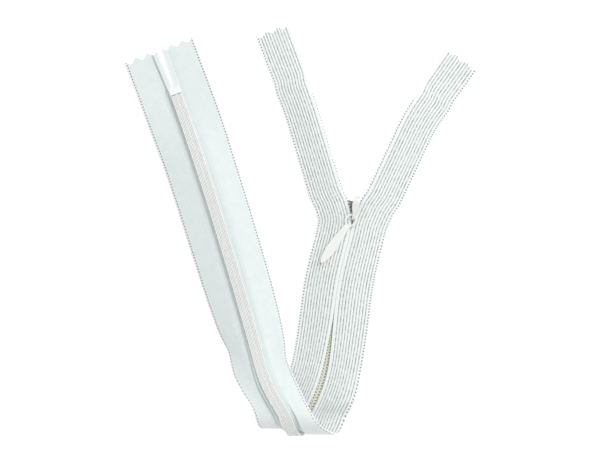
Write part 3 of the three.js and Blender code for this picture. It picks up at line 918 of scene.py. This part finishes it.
# %% A small helper for node graphs
class Graph:
    def __init__(self, name):
        self.material = bpy.data.materials.new(name)
        self.material.use_nodes = True
        self.tree = self.material.node_tree
        self.shader = self.tree.nodes["Principled BSDF"]

    def link(self, source, target):
        if isinstance(source, (int, float)):
            target.default_value = source
        else:
            self.tree.links.new(source, target)

    def math(self, operation, a, b=None, c=None):
        node = self.tree.nodes.new("ShaderNodeMath")
        node.operation = operation
        for value, socket in zip((a, b, c), node.inputs):
            if value is not None:
                self.link(value, socket)
        return node.outputs[0]

    def ramp(self, value, low, high, start=0.0, end=1.0):
        node = self.tree.nodes.new("ShaderNodeMapRange")
        node.interpolation_type = "SMOOTHSTEP"
        self.link(value, node.inputs["Value"])
        for socket, number in zip(node.inputs[1:5], (low, high, start, end)):
            socket.default_value = number
        return node.outputs[0]

    def noise(self, vector, scale, detail=2.0):
        node = self.tree.nodes.new("ShaderNodeTexNoise")
        self.link(vector, node.inputs["Vector"])
        node.inputs["Scale"].default_value = scale
        node.inputs["Detail"].default_value = detail
        return node.outputs["Fac"]

    def mix(self, share, first, second):
        node = self.tree.nodes.new("ShaderNodeMix")
        node.data_type = "RGBA"
        self.link(share, node.inputs["Factor"])
        for value, socket in ((first, node.inputs["A"]), (second, node.inputs["B"])):
            color_sockets = [s for s in node.inputs if s.name == socket.name and s.type == "RGBA"]
            if isinstance(value, tuple):
                color_sockets[0].default_value = (*value, 1)
            else:
                self.tree.links.new(value, color_sockets[0])
        return next(s for s in node.outputs if s.type == "RGBA")

    def combine(self, x, y, z=0.0):
        node = self.tree.nodes.new("ShaderNodeCombineXYZ")
        for value, socket in zip((x, y, z), node.inputs):
            self.link(value, socket)
        return node.outputs[0]

    def uv(self):
        node = self.tree.nodes.new("ShaderNodeUVMap")
        node.uv_map = "cloth"
        split = self.tree.nodes.new("ShaderNodeSeparateXYZ")
        self.tree.links.new(node.outputs[0], split.inputs[0])
        return split.outputs[0], split.outputs[1]

    def object_coordinates(self):
        return self.tree.nodes.new("ShaderNodeTexCoord").outputs["Object"]

    def bump(self, height, distance, strength=1.0):
        node = self.tree.nodes.new("ShaderNodeBump")
        node.inputs["Strength"].default_value = strength
        node.inputs["Distance"].default_value = distance
        self.link(height, node.inputs["Height"])
        self.tree.links.new(node.outputs[0], self.shader.inputs["Normal"])

    def color(self, value):
        if isinstance(value, tuple):
            self.shader.inputs["Base Color"].default_value = (*value, 1)
        else:
            self.tree.links.new(value, self.shader.inputs["Base Color"])

    def set(self, **values):
        for name, value in values.items():
            self.shader.inputs[name.replace("_", " ")].default_value = value


# %% Knitted tape
HOLE_PITCH = 1.05
KNIT_PITCH = (0.95, 1.25)
WEAVE_PITCH = (0.35, 0.42)
ALONG_SHIFT = 60.0


def knitted_tape():
    g = Graph("knitted_tape")
    across, along = g.uv()
    w = g.math("ABSOLUTE", across)
    front = g.math("GREATER_THAN", across, 0.0)
    back = g.math("SUBTRACT", 1.0, front)
    # Rib valleys are painted dark over the real relief, a painted shade; noise varies its strength dash by
    # dash.
    turns = g.math("MULTIPLY", g.math("SUBTRACT", HOLE_ROW, w), 2 * math.pi / RIB_PITCH)
    valley = g.ramp(g.math("COSINE", turns), -0.1, 1.0)
    in_ribs = g.math("MULTIPLY", front, g.math("LESS_THAN", w, RIBS_END))
    column = g.math("FLOOR", g.math("DIVIDE", g.math("SUBTRACT", HOLE_ROW + RIB_PITCH / 2, w), RIB_PITCH))
    dash = g.noise(g.combine(g.math("MULTIPLY", column, 7.3), g.math("MULTIPLY", along, 0.9)), 1.0, 1.0)
    depth = g.ramp(dash, 0.3, 0.75, 0.45, 1.0)
    past_edge = g.ramp(w, 0.5, 1.0)
    in_ribs = g.math("MULTIPLY", in_ribs, past_edge)
    shade = g.math("MULTIPLY", g.math("MULTIPLY", valley, in_ribs), depth)
    step = g.math("MODULO", g.math("ADD", along, ALONG_SHIFT), HOLE_PITCH)
    hole_along = g.math("SUBTRACT", step, HOLE_PITCH / 2)
    hole_out = g.math("SUBTRACT", w, HOLE_ROW + 0.05)
    apart = g.math("SQRT", g.math("ADD", g.math("POWER", hole_along, 2.0), g.math("POWER", hole_out, 2.0)))
    hole = g.ramp(apart, 0.12, 0.34, 1.0, 0.0)
    knit_w = g.math("SINE", g.math("MULTIPLY", w, 2 * math.pi / KNIT_PITCH[0]))
    knit_s = g.math("SINE", g.math("MULTIPLY", along, 2 * math.pi / KNIT_PITCH[1]))
    pin = g.ramp(g.math("MULTIPLY", knit_w, knit_s), 0.5, 0.9)
    wale = g.math("MULTIPLY", g.ramp(knit_w, 0.3, 1.0), g.math("MULTIPLY", back, 0.07))
    patches = g.ramp(g.noise(g.combine(w, along), 0.35), 0.42, 0.62)
    pin = g.math("MULTIPLY", g.math("MULTIPLY", pin, back), patches)
    base = g.mix(front, (0.765, 0.83, 0.825), (0.85, 0.885, 0.875))
    rim = g.ramp(w, HOLE_ROW + 0.2, HOLE_ROW + 0.7)
    base = g.mix(rim, base, (0.94, 0.925, 0.92))
    valley_shaded = g.mix(shade, base, (0.27, 0.32, 0.30))
    lined = g.mix(wale, valley_shaded, (0.3, 0.36, 0.36))
    dotted = g.mix(g.math("MULTIPLY", pin, 0.5), lined, (0.45, 0.5, 0.5))
    # The holes are painted near-black, a painted shade in each hole; the bump below also dents them.
    g.color(g.mix(g.math("MULTIPLY", hole, 0.95), dotted, (0.16, 0.18, 0.17)))
    fine = g.math("SINE", g.math("MULTIPLY", along, 2 * math.pi / WEAVE_PITCH[1]))
    cross = g.math("SINE", g.math("MULTIPLY", w, 2 * math.pi / WEAVE_PITCH[0]))
    weave = g.math("MULTIPLY", fine, cross)
    g.bump(g.math("SUBTRACT", g.math("MULTIPLY", weave, 0.25), hole), 0.0001, 0.6)
    g.set(Roughness=0.85)
    g.shader.inputs["Sheen Weight"].default_value = 0.25
    g.shader.inputs["Sheen Roughness"].default_value = 0.5
    return g.material


tape_material = knitted_tape()


# %% Nylon, cord and sewing thread
WHITE_NYLON = (0.89, 0.915, 0.89)
ALOFT = (0.0022, 0.0034)


def nylon(name, color, fading=0.08, aloft=None):
    """aloft, if given, is the unshaded colour where the piece has risen out of the short leg;
    lower down, color is then a painted shade.
    """
    g = Graph(name)
    place = g.object_coordinates()
    drift = g.noise(place, 900.0)
    darker = tuple(c * (1 - fading) for c in color)
    tint = g.mix(drift, darker, color)
    if aloft:
        height = g.tree.nodes.new("ShaderNodeSeparateXYZ")
        g.link(place, height.inputs[0])
        tint = g.mix(g.ramp(height.outputs[2], *ALOFT), tint, aloft)
    g.color(tint)
    g.bump(g.noise(place, 4000.0), 0.00002, 0.4)
    g.set(Roughness=0.38, IOR=1.53)
    g.shader.inputs["Coat Weight"].default_value = 0.15
    return g.material


def twisted(name, color, pitch):
    g = Graph(name)
    around, along = g.uv()
    travel = g.math("ADD", g.math("DIVIDE", along, pitch), around)
    twist = g.math("SINE", g.math("MULTIPLY", travel, 2 * math.pi))
    g.color(g.mix(g.ramp(twist, -1.0, 0.2), tuple(c * 0.88 for c in color), color))
    g.bump(twist, 0.00004, 0.7)
    g.set(Roughness=0.8)
    g.shader.inputs["Sheen Weight"].default_value = 0.3
    return g.material


coil_material = nylon("drawn_nylon", WHITE_NYLON)
# The short coil is painted olive where it lies low in the groove under the tapes, a painted shade; it
# turns white where it rises into the loop.
shaded_coil_material = nylon("drawn_nylon_painted_groove_shade", (0.93, 0.95, 0.79), aloft=WHITE_NYLON)
cord_material = twisted("core_cord", (0.78, 0.80, 0.76), 0.9)
thread_material = twisted("sewing_thread", (0.95, 0.965, 0.95), 0.55)
stop_material = nylon("melted_nylon", (0.88, 0.91, 0.89), 0.06)


# %% Lacquered metal
def lacquer(name, color, chip_color, roughness, chips):
    g = Graph(name)
    place = g.object_coordinates()
    spots = g.ramp(g.noise(place, 1500.0, 3.0), 0.62, 0.7)
    cloud = g.noise(place, 220.0)
    base = g.mix(cloud, tuple(c * 0.94 for c in color), color)
    g.color(g.mix(g.math("MULTIPLY", spots, chips), base, chip_color))
    g.bump(g.noise(place, 2600.0, 3.0), 0.00002, 0.35)
    g.set(Roughness=roughness, Metallic=0.0)
    g.shader.inputs["Coat Weight"].default_value = 0.3
    g.shader.inputs["Coat Roughness"].default_value = 0.15
    return g.material


# The body's dark olive is a painted shade for the shadow it lies in between the tapes.
body_material = lacquer("slider_lacquer_painted_shade", (0.34, 0.37, 0.27), (0.5, 0.5, 0.45), 0.4, 0.35)
# The crown is painted a little darker than the pull's same white lacquer, a painted shade.
crown_material = lacquer("crown_lacquer_painted_shade", (0.77, 0.78, 0.76), (0.5, 0.5, 0.46), 0.3, 0.25)
leaf_material = lacquer("white_lacquer", (0.87, 0.885, 0.86), (0.6, 0.6, 0.55), 0.3, 0.12)

# %% [markdown]
# ## Putting it together
#
# Every piece gets its finish and stands for its CAD nodes, which are hidden. The lock spring
# and pull ride on their bodies; the strips keep their places baked into their meshes.


def bend_with(piece, part):
    if part == "open":
        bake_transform(piece)
    elif part == "short":
        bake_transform(piece)
    else:
        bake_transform(piece)


# %% Tapes and strips get their finish and hide their CAD nodes
NODE_PART = {"open": ["wing"], "short": ["short", "fold"], "long": ["long"]}
STRIP_FINISH = {
    "coil": (coil_material, "coil"),
    "core_cord": (cord_material, "cord"),
    "stitching": (thread_material, "thread"),
}


def flat_length(part, side):
    if part == "open":
        return (WING_LENGTH[side] + SEAM) * MM
    middle = fold_middle_at(side, HALF_WIDTH / 2)
    return (middle - SEAM) * MM if part == "short" else (CHAIN_END - middle) * MM


for (side_name, part), tape in tapes.items():
    tape.data.materials.append(tape_material)
    nodes = [f"{side_name}_tape_{end}" for end in NODE_PART[part]]
    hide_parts(*nodes)
    bend_with(tape, part)
    flat_length(part, SIDES[side_name])

for (side_name, part), run in runs.items():
    for strip, piece in run.items():
        material, slot_name = STRIP_FINISH[strip]
        # The short coil takes the copy with painted groove shade.
        if strip == "coil" and part == "short":
            material = shaded_coil_material
        piece.data.materials.append(material)
        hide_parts(*[f"{side_name}_{strip}_{end}" for end in NODE_PART[part]])
        bend_with(piece, part)


# %% Rigid pieces and the CAD nodes that stay
def dress(name, material):
    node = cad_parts[name]
    node.data.materials.clear()
    node.data.materials.append(material)


METAL_PIECES = (
    (lock_spring, "lock_spring", crown_material),
    (pull, "pull_tab", leaf_material),
)
for piece, node, finish in METAL_PIECES:
    piece.data.materials.clear()
    piece.data.materials.append(finish)
    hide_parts(node)
    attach(piece, node)
dress("slider_body", body_material)
for name in ("left_top_stop", "right_top_stop", "bottom_stop"):
    dress(name, stop_material)
print("slider dressed")
